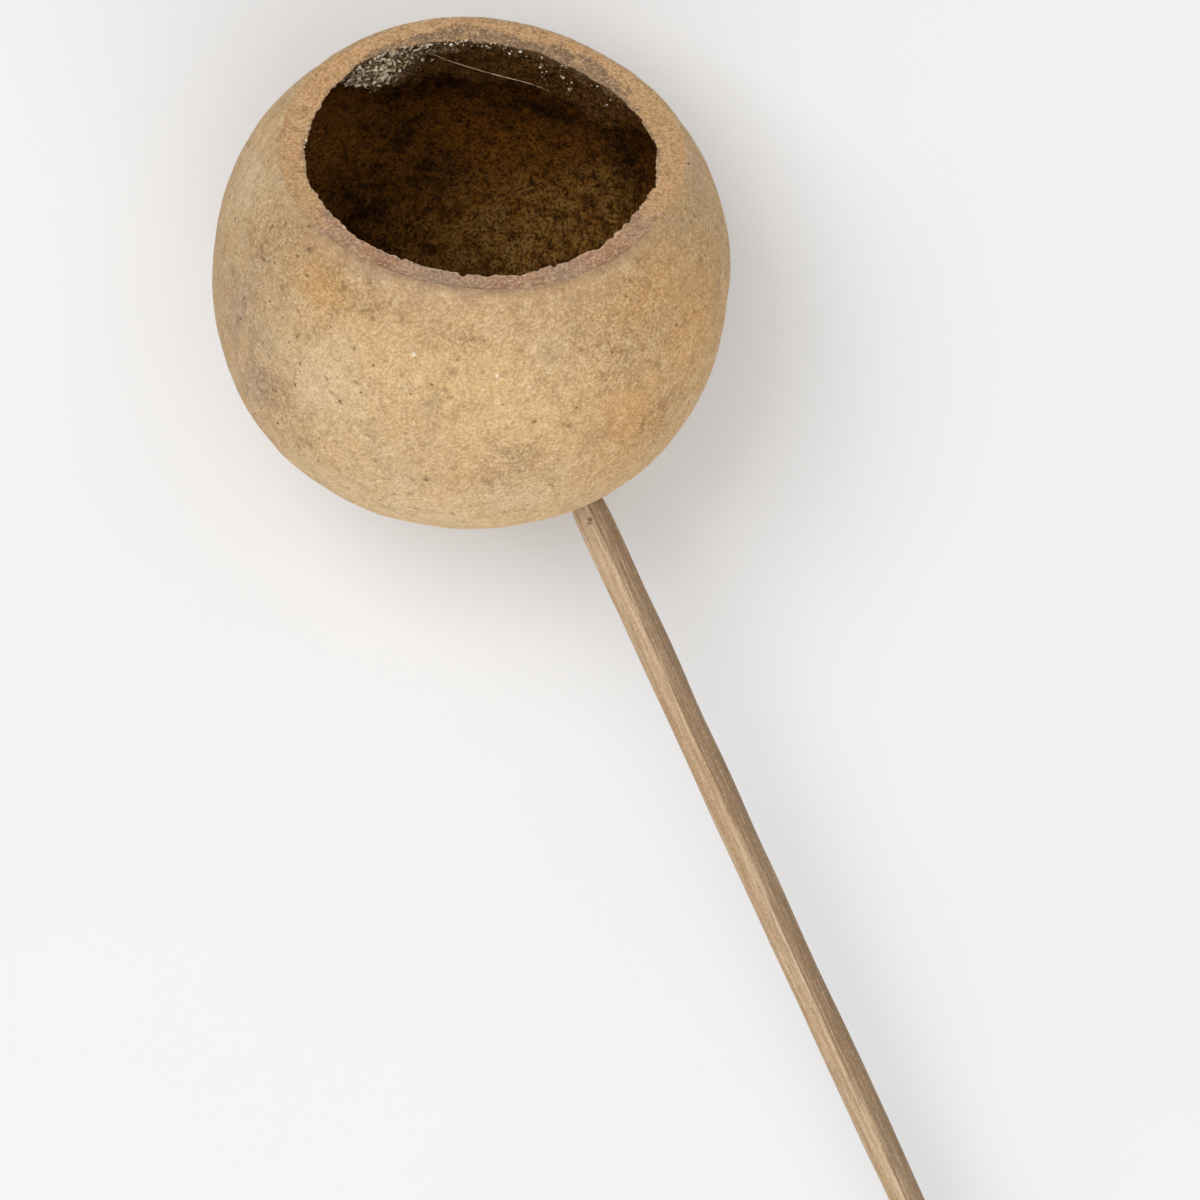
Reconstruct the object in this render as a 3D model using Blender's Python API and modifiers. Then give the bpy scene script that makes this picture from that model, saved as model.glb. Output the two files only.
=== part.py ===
"""A dried bell cup pod on its stem, lying on its side.

The pod is the woody shell of a round fruit: its top is sawn off, its inside is scraped
out, and a split reed is pushed in through a hole low on its side, so that the reed's
whittled end stands a little way into the cup.

Metres, +Z up. The origin is on the surface that the pod lies on, under the pod's middle.
The stem runs off along -Y and comes down to that surface at its far end.
"""

import math

import bmesh
import bpy
from mathutils import Matrix, Vector

MM = 0.001

# Points nearer to each other than this are one point.
WELD = 0.01 * MM

# The pod in its own frame: its middle is the origin, and its mouth faces +Z. The fruit's top
# would stand at the first of these heights, if it weren't sawn off.
POD_RADIUS = 28.94 * MM
TOP_DEPTH = 26.6 * MM
FOOT_DEPTH = 25.7 * MM
SQUARENESS = 2.25
MOUTH_HEIGHT = 18.45 * MM

# The wall's thickness at the pod's waist, under the foot, and where the mouth's pole would be.
WAIST_WALL = 2.1 * MM
FOOT_WALL = 2.6 * MM
SHOULDER_WALL = 2.5 * MM
LIP_OUTER_ROUND = 1.0 * MM
LIP_INNER_ROUND = 0.4 * MM

# The sawn edge isn't flat: (height, waves in one turn, where the first crest lies).
RIM_WAVES = (
    (0.78 * MM, 2, math.radians(122)),
    (0.43 * MM, 3, math.radians(109)),
)
RIM_WAVE_FADE = 12.0 * MM

# The wall is thicker on the far side of the mouth than on the near side.
WALL_UNEVEN = 0.65 * MM
WALL_THICK_SIDE = math.radians(90)

# Dried pulp is left as a band under the far side of the mouth: how far down it reaches, how
# quickly it dies back into the wall below, how much wider it gets with depth, and where in the
# turn its middle is and how far it runs to each side.
PULP_REACH = 6.5 * MM
PULP_BACK = 2.5 * MM
PULP_DRAFT = 0.12
PULP_MIDDLE = math.radians(85)
PULP_HALF_SPAN = math.radians(68)

# The fruit grew a little out of round: (swelling, lobes in one turn, where the first lobe lies).
LOBES = (
    (0.23 * MM, 3, math.radians(113)),
    (0.21 * MM, 5, math.radians(25)),
)

# How the pod lies: its middle's height, how far its mouth is tipped over, and which way.
# The height leaves the wall's lowest part 0.6 mm under the surface, which is cut off flat.
LYING_HEIGHT = 27.9 * MM
MOUTH_TIP = math.radians(46.3)
MOUTH_TURN = math.radians(31.8)

# Around the pod's axis, and along its two walls.
TURN_STEPS = 64
OUTER_STEPS = 22
INNER_STEPS = 24
ROUND_STEPS = 3

# The stem: its reach is measured along -Y from the pod's middle.
STEM_RADIUS = 1.75 * MM
RIDGE = 0.10
RIDGES = 3
SIDE_RIBS = 0.035
SIDE_RIB_COUNT = 7
SIDE_RIB_TURN = 0.6
SECTION_POINTS = 22
WHITTLED_TIP = 20.5 * MM
WALL_REACH = 27.0 * MM
STEM_END = 276.0 * MM
STEM_STEPS = 26
STEP_GROWTH = 1.3
WHITTLED_STEPS = 4
STEM_ASIDE = 1.54 * MM
STEM_LEAN = -1.0 * MM
STEM_BOW = 3.0 * MM
STEM_SAG = 1.2 * MM
STEM_END_HEIGHT = 1.36 * MM

# How thick the stem is along its reach: (reach, share of its full radius).
STEM_TAPER = (
    (20.5 * MM, 0.42),
    (24.0 * MM, 0.72),
    (27.0 * MM, 0.93),
    (60.0 * MM, 1.04),
    (130.0 * MM, 0.98),
    (276.0 * MM, 0.90),
)

# The gap between the stem and the hole that holds it.
HOLE_GAP = 0.3 * MM
HOLE_SIDES = 24

POD_COLOUR = (0.56, 0.40, 0.22, 1.0)
STEM_COLOUR = (0.40, 0.27, 0.15, 1.0)


def clear_scene():
    for obj in list(bpy.data.objects):
        bpy.data.objects.remove(obj, do_unlink=True)


def collection_named(name):
    made = bpy.data.collections.new(name)
    bpy.context.scene.collection.children.link(made)
    return made


def dry_finish(name, colour, roughness):
    """A dull plant surface: no metal, and almost no shine."""
    material = bpy.data.materials.new(name)
    material.use_nodes = True
    shader = material.node_tree.nodes["Principled BSDF"]
    shader.inputs["Base Color"].default_value = colour
    shader.inputs["Roughness"].default_value = roughness
    shader.inputs["Metallic"].default_value = 0.0
    return material


def as_helper(obj):
    """A cutter or a guide, which isn't a piece of the object."""
    obj.hide_render = True
    obj.display_type = "WIRE"
    return obj


def squared_circle(angle, wide, high):
    """A point of an oval with slightly squared shoulders: angle 0 is its side, 90 degrees its top."""
    power = 2 / SQUARENESS
    across = wide * abs(math.cos(angle)) ** power
    up = math.copysign(high * abs(math.sin(angle)) ** power, math.sin(angle))
    return across, up


def angle_at_height(height, high):
    """The angle at which that oval reaches a height."""
    return math.asin((height / high) ** (SQUARENESS / 2))


def mouth_inside():
    """The inside radius just under the mouth's rounded lip."""
    high = TOP_DEPTH - SHOULDER_WALL
    angle = angle_at_height(MOUTH_HEIGHT - LIP_INNER_ROUND, high)
    return squared_circle(angle, POD_RADIUS - WAIST_WALL, high)[0]


def outer_radius(height):
    """The pod's outside radius at a height over its middle."""
    depth = FOOT_DEPTH if height < 0 else TOP_DEPTH
    share = min(abs(height) / depth, 1.0)
    return POD_RADIUS * (1 - share**SQUARENESS) ** (1 / SQUARENESS)


def arc(centre, radius, start, end, steps):
    """Points on an arc, angles in radians."""
    turns = (start + (end - start) * i / steps for i in range(steps + 1))
    return [
        (centre[0] + radius * math.cos(a), centre[1] + radius * math.sin(a))
        for a in turns
    ]


def wall_profile():
    """Half of the pod's section, as (radius, height).

    It goes up the inside, over the lip, and down the outside.
    """
    inner_wide = POD_RADIUS - WAIST_WALL
    inner_foot = FOOT_DEPTH - FOOT_WALL
    inner_top = TOP_DEPTH - SHOULDER_WALL
    inner_start = MOUTH_HEIGHT - LIP_INNER_ROUND
    outer_start = MOUTH_HEIGHT - LIP_OUTER_ROUND
    inner_end_angle = angle_at_height(inner_start, inner_top)
    outer_start_angle = angle_at_height(outer_start, TOP_DEPTH)

    inner = []
    for i in range(INNER_STEPS + 1):
        angle = -math.pi / 2 + (inner_end_angle + math.pi / 2) * i / INNER_STEPS
        high = inner_foot if angle < 0 else inner_top
        inner.append(squared_circle(angle, inner_wide, high))
    inner[0] = (0.0, -inner_foot)

    outer = []
    for i in range(OUTER_STEPS + 1):
        angle = outer_start_angle - (outer_start_angle + math.pi / 2) * i / OUTER_STEPS
        high = FOOT_DEPTH if angle < 0 else TOP_DEPTH
        outer.append(squared_circle(angle, POD_RADIUS, high))
    outer[-1] = (0.0, -FOOT_DEPTH)

    inner_lip = arc(
        (inner[-1][0] + LIP_INNER_ROUND, inner_start),
        LIP_INNER_ROUND, math.pi, math.pi / 2, ROUND_STEPS,
    )
    outer_lip = arc(
        (outer[0][0] - LIP_OUTER_ROUND, outer_start),
        LIP_OUTER_ROUND, math.pi / 2, 0.0, ROUND_STEPS,
    )
    return inner[:-1] + inner_lip + outer_lip + outer[1:]


def turned_pod():
    """The pod's wall as a lathe would leave it: the profile turned about its axis."""
    profile = wall_profile()
    mesh = bpy.data.meshes.new("pod_profile")
    points = [(radius, 0.0, height) for radius, height in profile]
    mesh.from_pydata(points, [(i, i + 1) for i in range(len(points) - 1)], [])
    obj = bpy.data.objects.new("pod_profile", mesh)
    bpy.context.scene.collection.objects.link(obj)

    screw = obj.modifiers.new("turn", "SCREW")
    screw.axis = "Z"
    screw.steps = TURN_STEPS
    screw.render_steps = TURN_STEPS
    screw.use_merge_vertices = True
    screw.merge_threshold = WELD

    graph = bpy.context.evaluated_depsgraph_get()
    turned = bpy.data.meshes.new_from_object(obj.evaluated_get(graph))
    bpy.data.objects.remove(obj, do_unlink=True)
    return turned


def smooth_step(x):
    x = min(max(x, 0.0), 1.0)
    return x * x * (3 - 2 * x)


def with_pulp(radius, height, turn):
    """The inside radius at a place, less what the band of pulp takes up there.

    The band's face goes down nearly straight from the mouth. It reaches furthest at its
    middle, and dies back into the wall below and towards its two ends.
    """
    depth = MOUTH_HEIGHT - LIP_INNER_ROUND - height
    aside = abs((turn - PULP_MIDDLE + math.pi) % (2 * math.pi) - math.pi)
    share = smooth_step(2 * (1 - aside / PULP_HALF_SPAN))
    band = share * (1 - smooth_step((depth - PULP_REACH * share) / PULP_BACK))
    face = mouth_inside() + PULP_DRAFT * depth
    return radius + (min(radius, face) - radius) * band


def as_grown(point):
    """Moves a point of the turned wall to where it is on the real pod.

    The band of pulp narrows the inside, the point slides along the outside's curve as the
    sawn edge rises and falls, the wall takes its uneven thickness towards the mouth, and the
    lobes swell the whole.
    """
    turn = math.atan2(point.y, point.x)
    radius = math.hypot(point.x, point.y)
    height = point.z
    near_mouth = smooth_step((height - MOUTH_HEIGHT + RIM_WAVE_FADE) / RIM_WAVE_FADE)
    inside = outer_radius(height) - radius > WAIST_WALL / 2
    if inside and height < MOUTH_HEIGHT - LIP_INNER_ROUND:
        radius = with_pulp(radius, height, turn)

    rise = sum(
        size * math.cos(count * (turn - crest)) for size, count, crest in RIM_WAVES
    )
    raised = height + rise * near_mouth
    into_wall = min(max((outer_radius(height) - radius) / WAIST_WALL, 0.0), 1.0)
    radius += outer_radius(raised) - outer_radius(height)
    thicker = WALL_UNEVEN * math.cos(turn - WALL_THICK_SIDE)
    radius -= thicker * into_wall * near_mouth

    from_axis = min(radius / POD_RADIUS, 1.0)
    swell = sum(
        size * math.cos(count * (turn - crest)) * from_axis**count
        for size, count, crest in LOBES
    )
    radius += swell
    return Vector((radius * math.cos(turn), radius * math.sin(turn), raised))


def stem_centre(reach):
    """The stem's middle at a reach along -Y.

    Its line starts level with the pod's middle and comes down to the surface at its end.
    """
    along = reach / STEM_END
    drop = LYING_HEIGHT - STEM_END_HEIGHT
    x = STEM_ASIDE + STEM_LEAN * along + STEM_BOW * along**2
    z = LYING_HEIGHT - drop * along - STEM_SAG * 4 * along * (1 - along)
    return Vector((x, -reach, z))


def stem_thickness(reach):
    """The stem's share of its full radius, eased between the taper's stations."""
    for (start, thick), (end, next_thick) in zip(STEM_TAPER, STEM_TAPER[1:]):
        if reach <= end:
            return thick + (next_thick - thick) * smooth_step((reach - start) / (end - start))
    return STEM_TAPER[-1][1]


def stem_section():
    """The reed's section: a rounded triangle with one ridge on top and low ribs along its sides."""
    outline = []
    for i in range(SECTION_POINTS):
        turn = 2 * math.pi * i / SECTION_POINTS
        from_top = turn - math.pi / 2
        radius = STEM_RADIUS * (
            1 + RIDGE * math.cos(RIDGES * from_top)
            + SIDE_RIBS * math.cos(SIDE_RIB_COUNT * from_top + SIDE_RIB_TURN)
        )
        outline.append((radius * math.cos(turn), radius * math.sin(turn)))
    return outline


def poly_curve(name, points, dimensions, cyclic=False):
    """A curve object of one open or closed spline of straight runs."""
    curve = bpy.data.curves.new(name, "CURVE")
    curve.dimensions = dimensions
    spline = curve.splines.new("POLY")
    spline.points.add(len(points) - 1)
    for spot, point in zip(spline.points, points):
        spot.co = (*point, 1.0)
    spline.use_cyclic_u = cyclic
    obj = bpy.data.objects.new(name, curve)
    bpy.context.scene.collection.objects.link(obj)
    return obj


def stem_reaches():
    """Where the stem's sections stand: close together at the whittled end, wider apart beyond."""
    whittled = [
        WHITTLED_TIP + (WALL_REACH - WHITTLED_TIP) * i / WHITTLED_STEPS
        for i in range(WHITTLED_STEPS)
    ]
    shaft = [
        WALL_REACH + (STEM_END - WALL_REACH) * (i / STEM_STEPS) ** STEP_GROWTH
        for i in range(STEM_STEPS + 1)
    ]
    return whittled + shaft


def stem_piece(home):
    """The reed as a mesh: its section carried along a slightly bowed line, with closed ends."""
    reaches = stem_reaches()
    section = poly_curve(
        "stem_section", [(x, y, 0.0) for x, y in stem_section()], "2D", cyclic=True
    )
    rod = poly_curve("stem_line", [stem_centre(reach) for reach in reaches], "3D")
    rod.data.twist_mode = "Z_UP"
    rod.data.bevel_mode = "OBJECT"
    rod.data.bevel_object = section
    rod.data.use_fill_caps = True
    for spot, reach in zip(rod.data.splines[0].points, reaches):
        spot.radius = stem_thickness(reach)

    graph = bpy.context.evaluated_depsgraph_get()
    mesh = bpy.data.meshes.new_from_object(rod.evaluated_get(graph))
    close = bmesh.new()
    close.from_mesh(mesh)
    bmesh.ops.remove_doubles(close, verts=close.verts, dist=WELD)
    bmesh.ops.recalc_face_normals(close, faces=close.faces)
    close.to_mesh(mesh)
    close.free()

    stem = bpy.data.objects.new("stem", mesh)
    stem.matrix_world = rod.matrix_world
    home.objects.link(stem)
    bpy.data.objects.remove(rod, do_unlink=True)
    bpy.data.objects.remove(section, do_unlink=True)
    stem.data.materials.clear()
    stem.data.materials.append(dry_finish("stem", STEM_COLOUR, 0.75))
    return stem


def pod_piece(home):
    """The pod as a mesh in its own frame, placed and tipped as it lies."""
    mesh = turned_pod()
    mesh.name = "cup_pod"
    for vertex in mesh.vertices:
        vertex.co = as_grown(vertex.co)
    pod = bpy.data.objects.new("cup_pod", mesh)
    pod.location = (0.0, 0.0, LYING_HEIGHT)
    pod.rotation_euler = (-MOUTH_TIP, 0.0, -MOUTH_TURN)
    home.objects.link(pod)
    pod.data.materials.clear()
    pod.data.materials.append(dry_finish("cup_pod", POD_COLOUR, 0.8))
    return pod


def surface_cutter(helpers):
    """A block whose top is the surface that the pod lies on.

    It cuts the small flats that the pieces rest on.
    """
    side = 2 * STEM_END
    shape = bmesh.new()
    bmesh.ops.create_cube(shape, size=1.0, matrix=Matrix.Diagonal((side, 2 * side, side, 1.0)))
    mesh = bpy.data.meshes.new("surface_cutter")
    shape.to_mesh(mesh)
    shape.free()
    block = bpy.data.objects.new("surface_cutter", mesh)
    block.location = (0.0, 0.0, -side / 2)
    helpers.objects.link(block)
    return as_helper(block)


def hole_cutter(helpers):
    """A round bar along the stem's line through the pod's wall, a little wider than the stem."""
    inside = stem_centre(WHITTLED_TIP)
    outside = stem_centre(2 * WALL_REACH - WHITTLED_TIP)
    wide = STEM_RADIUS * (1 + RIDGE + SIDE_RIBS) + HOLE_GAP
    shape = bmesh.new()
    bmesh.ops.create_cone(
        shape, cap_ends=True, segments=HOLE_SIDES,
        radius1=wide, radius2=wide, depth=(outside - inside).length,
    )
    mesh = bpy.data.meshes.new("hole_cutter")
    shape.to_mesh(mesh)
    shape.free()
    bar = bpy.data.objects.new("hole_cutter", mesh)
    bar.location = (inside + outside) / 2
    bar.rotation_mode = "QUATERNION"
    bar.rotation_quaternion = (outside - inside).to_track_quat("Z", "Y")
    helpers.objects.link(bar)
    return as_helper(bar)


def cut(obj, cutter):
    modifier = obj.modifiers.new(cutter.name, "BOOLEAN")
    modifier.operation = "DIFFERENCE"
    modifier.object = cutter


def shade(obj):
    obj.data.shade_smooth()
    obj.data.set_sharp_from_angle(angle=math.radians(35))


def main():
    clear_scene()
    home = collection_named("dried_bell_cup_pod")
    helpers = collection_named("cutters")
    pod = pod_piece(home)
    stem = stem_piece(home)
    surface = surface_cutter(helpers)
    hole = hole_cutter(helpers)
    cut(pod, hole)
    cut(pod, surface)
    cut(stem, surface)
    shade(pod)
    shade(stem)


main()
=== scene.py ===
"""The looks of a dried bell cup pod on its stem, lying on a pale surface.

The pod is the hard shell of a round fruit, sawn open, scraped out and dried. A split reed
is pushed in through a hole low on its side. Metres, +Z up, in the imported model's frame.
"""

import bpy
import numpy as np
from mathutils import Matrix, Vector


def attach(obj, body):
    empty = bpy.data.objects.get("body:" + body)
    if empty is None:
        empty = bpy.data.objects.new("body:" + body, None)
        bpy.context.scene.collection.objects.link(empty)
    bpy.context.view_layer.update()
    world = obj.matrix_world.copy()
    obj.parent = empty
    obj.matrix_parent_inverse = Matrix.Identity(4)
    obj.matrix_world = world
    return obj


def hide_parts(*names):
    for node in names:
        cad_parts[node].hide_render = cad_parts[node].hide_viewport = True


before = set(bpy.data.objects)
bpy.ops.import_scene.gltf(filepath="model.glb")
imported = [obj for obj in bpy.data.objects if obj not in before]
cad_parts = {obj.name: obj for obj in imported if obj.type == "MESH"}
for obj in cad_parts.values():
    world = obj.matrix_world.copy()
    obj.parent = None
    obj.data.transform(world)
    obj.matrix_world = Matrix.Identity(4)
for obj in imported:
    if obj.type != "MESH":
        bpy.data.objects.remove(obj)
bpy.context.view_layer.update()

# The pod. It's the woody shell of a fruit as round as a small apple, with a tan skin. Its
# top is sawn off and its flesh scraped out, which leaves a wall about 2 mm thick and, under
# the far side of the mouth, a band of dried pulp. A hole is bored in its side for the stem.

MM = 0.001
POD_RADIUS = 28.94 * MM
TOP_DEPTH = 26.6 * MM
FOOT_DEPTH = 25.7 * MM
SQUARENESS = 2.25
MOUTH_HEIGHT = 18.45 * MM
WAIST_WALL = 2.1 * MM
FOOT_WALL = 2.6 * MM
SHOULDER_WALL = 2.35 * MM
LIP_OUTER_ROUND = 1.0 * MM
LIP_INNER_ROUND = 0.2 * MM
RIM_WAVES = (
    (0.78 * MM, 2, np.radians(122)),
    (0.43 * MM, 3, np.radians(109)),
)
RIM_WAVE_FADE = 12.0 * MM
WALL_UNEVEN = 0.65 * MM
WALL_THICK_SIDE = np.radians(90)
THIN_STRETCH = 1.1 * MM
THIN_STRETCH_MIDDLE = np.radians(133)
THIN_STRETCH_REACH = np.radians(23)
THIN_STRETCH_DEPTH = 9.0 * MM
PULP_REACH = 6.5 * MM
PULP_BACK = 2.2 * MM
PULP_DRAFT = 0.12
PULP_MIDDLE = np.radians(90)
PULP_HALF_SPAN = np.radians(75)
LOBES = (
    (0.23 * MM, 3, np.radians(113)),
    (0.21 * MM, 5, np.radians(25)),
)

# Uneven surfaces: the height of each layer of bumps, their size in millimetres, and a seed.
PULP_EDGE = ((0.45 * MM, 6.0, 11), (0.20 * MM, 1.6, 12))
CORNER_WANDER = ((0.10 * MM, 4.5, 1), (0.05 * MM, 1.4, 2))
CORNER_CRUMBLE = ((0.045 * MM, 0.7, 4),)
CUT_FACE = ((0.05 * MM, 3.0, 5), (0.03 * MM, 0.9, 6))
SKIN_DENTS = ((0.045 * MM, 11.0, 31), (0.02 * MM, 4.0, 32))
LINING_SCRAPES = ((0.13 * MM, 2.6, 33), (0.09 * MM, 1.1, 34))
CHIP_DEPTH = 0.24 * MM
CHIP_SIZE = 1.8
CORNER_REACH = 1.3 * MM
CUT_FACE_REACH = 0.6 * MM

# How the pod lies: its middle, and its mouth's axis, tipped over and turned.
LYING_HEIGHT = 27.9 * MM
MOUTH_TIP = np.radians(46.3)
MOUTH_TURN = np.radians(31.8)
POD_MIDDLE = np.array([0.0, 0.0, LYING_HEIGHT])
POD_TURN = np.array(Matrix.Rotation(-MOUTH_TURN, 3, "Z") @ Matrix.Rotation(-MOUTH_TIP, 3, "X"))

# The stem's line, which the hole follows: its reach is measured along -Y from the pod's middle.
STEM_RADIUS = 1.75 * MM
STEM_END = 276.0 * MM
STEM_ASIDE = 1.54 * MM
STEM_LEAN = -1.0 * MM
STEM_BOW = 3.0 * MM
STEM_SAG = 1.2 * MM
STEM_END_HEIGHT = 1.36 * MM
HOLE_REACH = 27.0 * MM
HOLE_RADIUS = 2.3 * MM
HOLE_EDGE = 0.3 * MM
HOLE_SINK = 1.15 * MM
HOLE_INNER_SINK = 0.9 * HOLE_SINK
HOLE_BULGE = 0.12 * MM
HOLE_BULGE_OUT = 0.5 * MM
HOLE_BULGE_WIDTH = 0.45 * MM
HOLE_TEARS = ((0.4 * HOLE_EDGE, 1.8, 21),)
HOLE_SPAN = (-3 * MM, 14 * MM)
BESIDE_HOLE = 5 * MM

TURN_STEPS = 512
INNER_ROWS = 72
LIP_ROWS = 7
CUT_ROWS = 10
OUTER_ROWS = 76


def ease(x):
    """0 below 0, 1 above 1, and 3 x squared less 2 x cubed between."""
    x = np.clip(x, 0.0, 1.0)
    return x * x * (3 - 2 * x)


def rumple(points, size, seed, waves=36):
    """A random but smooth height at each point: the sum of sine waves about one size long that
    run in all directions from seeded starts, scaled to a spread of about 1."""
    draw = np.random.default_rng(seed)
    ways = draw.normal(size=(waves, 3))
    ways *= 2 * np.pi / (size * np.linalg.norm(ways, axis=1, keepdims=True))
    starts = draw.uniform(0, 2 * np.pi, waves)
    return np.sin(points @ ways.T + starts).sum(axis=-1) * np.sqrt(2 / waves)


def layered(points, layers):
    """The sum of some layers of bumps at each point."""
    return sum(height * rumple(points, size, seed=seed) for height, size, seed in layers)


def crowded(count, places):
    """Numbers from 0 to 1 that stand closer around given places: their density is 1 plus a bell
    of a given width and height at each place, and equal shares of its sum lie between them."""
    fine = np.linspace(0, 1, 4001)
    density = 1 + sum(high * np.exp(-(((fine - at) / wide) ** 2)) for at, wide, high in places)
    total = np.concatenate([[0], np.cumsum((density[1:] + density[:-1]) / 2)])
    return np.interp(np.linspace(0, total[-1], count + 1), total, fine)


def oval(angle, wide, high):
    """Half an upright oval with squared shoulders: across is wide times the angle's cosine to the
    power 2 / SQUARENESS, and up is high times its sine to that power, with the sine's sign."""
    power = 2 / SQUARENESS
    across = wide * np.abs(np.cos(angle)) ** power
    up = high * np.sign(np.sin(angle)) * np.abs(np.sin(angle)) ** power
    return across, up


def oval_angle(height, high):
    """The angle at which the oval reaches a height."""
    return np.sign(height) * np.arcsin((np.abs(height) / high) ** (SQUARENESS / 2))


def outer_radius(height):
    """The skin's radius at a height over the pod's middle, from the oval's equation."""
    share = np.clip(np.abs(height) / np.where(height < 0, FOOT_DEPTH, TOP_DEPTH), 0.0, 1.0)
    return POD_RADIUS * (1 - share**SQUARENESS) ** (1 / SQUARENESS)


def stem_centre(reach):
    """The stem's middle at each reach: it comes down evenly from the pod's middle to its end on
    the surface, sags between them as a parabola, and bows aside as the square of its reach."""
    along = reach / STEM_END
    x = STEM_ASIDE + STEM_LEAN * along + STEM_BOW * along**2
    fall = (LYING_HEIGHT - STEM_END_HEIGHT) * along
    z = LYING_HEIGHT - fall - STEM_SAG * 4 * along * (1 - along)
    return np.stack([x, -reach, z], axis=-1)


def turned_from(turn, middle):
    """How far a turn is from another one, from half a turn back to half a turn on."""
    return (turn - middle + np.pi) % (2 * np.pi) - np.pi


def on_the_pod(turn, radius, height):
    """World points from the pod's own turn, radius and height: laid out round its axis, tipped
    over with it, and moved to its middle."""
    own = np.stack([radius * np.cos(turn), radius * np.sin(turn), height], axis=-1)
    return own @ POD_TURN.T + POD_MIDDLE


def in_the_pod(points):
    """The pod's own turn, radius and height of world points."""
    own = (points - POD_MIDDLE) @ POD_TURN
    return np.arctan2(own[..., 1], own[..., 0]), np.hypot(own[..., 0], own[..., 1]), own[..., 2]


def wall_rows(hole_height):
    """The wall's half-section as rows of (radius, height), from the inside's lowest point up to
    the lip, across the sawn edge, and down the outside to the foot. Rows crowd at the lip and
    at the hole's height."""
    inner_wide = POD_RADIUS - WAIST_WALL
    inner_top = TOP_DEPTH - SHOULDER_WALL
    inner_end = oval_angle(MOUTH_HEIGHT - LIP_INNER_ROUND, inner_top)
    outer_end = oval_angle(MOUTH_HEIGHT - LIP_OUTER_ROUND, TOP_DEPTH)
    hole_angle = oval_angle(hole_height, FOOT_DEPTH)

    sweep = inner_end + np.pi / 2
    hole_share = (hole_angle + np.pi / 2) / sweep
    angle = sweep * crowded(INNER_ROWS, [(hole_share, 0.03, 1.8), (1.0, 0.06, 2.0)])[1:] - np.pi / 2
    high = np.where(angle < 0, FOOT_DEPTH - FOOT_WALL, inner_top)
    inner = np.stack(oval(angle, inner_wide, high), axis=-1)

    sweep = outer_end + np.pi / 2
    hole_share = (outer_end - hole_angle) / sweep
    angle = outer_end - sweep * crowded(OUTER_ROWS, [(hole_share, 0.03, 2.2), (0.0, 0.03, 1.5)])[:-1]
    outer = np.stack(oval(angle, POD_RADIUS, np.where(angle < 0, FOOT_DEPTH, TOP_DEPTH)), axis=-1)

    bend = np.linspace(0, np.pi / 2, LIP_ROWS + 1)[1:, None]
    inner_middle = inner[-1] + [LIP_INNER_ROUND, 0]
    inner_lip = inner_middle + LIP_INNER_ROUND * np.hstack([-np.cos(bend), np.sin(bend)])
    outer_middle = outer[0] - [LIP_OUTER_ROUND, 0]
    outer_lip = outer_middle + LIP_OUTER_ROUND * np.hstack([np.cos(bend), np.sin(bend)])[::-1]
    across = np.linspace(0, 1, CUT_ROWS + 1)[1:-1, None]
    sawn = inner_lip[-1] + across * (outer_lip[0] - inner_lip[-1])
    return np.vstack([inner, inner_lip, sawn, outer_lip, outer])


def with_pulp(radius, height, turn):
    """The inside's radius less the band of pulp: the band's face goes down nearly straight from
    the mouth as far as its reach, which eases away towards its two ends, and then dies back
    into the wall. Its lower edge is ragged."""
    depth = MOUTH_HEIGHT - LIP_INNER_ROUND - height
    share = ease(2 * (1 - np.abs(turned_from(turn, PULP_MIDDLE)) / PULP_HALF_SPAN))
    ring = np.stack([20 * np.cos(turn), 20 * np.sin(turn), 0 * turn], axis=-1)
    ragged = layered(ring, PULP_EDGE)
    band = share * (1 - ease((depth - PULP_REACH * share - ragged) / PULP_BACK))
    top = TOP_DEPTH - SHOULDER_WALL
    mouth_angle = oval_angle(MOUTH_HEIGHT - LIP_INNER_ROUND, top)
    mouth_inside = oval(mouth_angle, POD_RADIUS - WAIST_WALL, top)[0]
    face = mouth_inside + PULP_DRAFT * depth
    return np.where(depth > 0, radius + (np.minimum(radius, face) - radius) * band, radius), band


def rim_rise(turn):
    """How far the sawn edge rises or falls at each turn: the sum of its waves."""
    return sum(size * np.cos(count * (turn - crest)) for size, count, crest in RIM_WAVES)


def as_grown(radius, height, turn):
    """Moves the wall from a turned shape to the fruit's: the pulp narrows the inside, points slide
    along the skin's curve as the sawn edge rises and falls in two waves, the wall is thicker on
    the far side of the mouth but for a thin stretch at its left, and lobes swell the whole."""
    inside = outer_radius(height) - radius > WAIST_WALL / 2
    pulpy, band = with_pulp(radius, height, turn)
    radius = np.where(inside, pulpy, radius)
    near_mouth = ease((height - MOUTH_HEIGHT + RIM_WAVE_FADE) / RIM_WAVE_FADE)
    raised = height + rim_rise(turn) * near_mouth
    into_wall = np.clip((outer_radius(height) - radius) / WAIST_WALL, 0.0, 1.0)
    radius = radius + outer_radius(raised) - outer_radius(height)
    radius = radius - WALL_UNEVEN * np.cos(turn - WALL_THICK_SIDE) * into_wall * near_mouth
    from_thin = turned_from(turn, THIN_STRETCH_MIDDLE)
    thinned = np.exp(-((from_thin / THIN_STRETCH_REACH) ** 2))
    thinned = thinned * ease((height - MOUTH_HEIGHT) / THIN_STRETCH_DEPTH + 1)
    radius = radius + THIN_STRETCH * thinned * into_wall
    from_axis = np.clip(radius / POD_RADIUS, 0.0, 1.0)
    for size, count, crest in LOBES:
        radius = radius + size * np.cos(count * (turn - crest)) * from_axis**count
    return radius, raised, into_wall, band * inside


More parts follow.
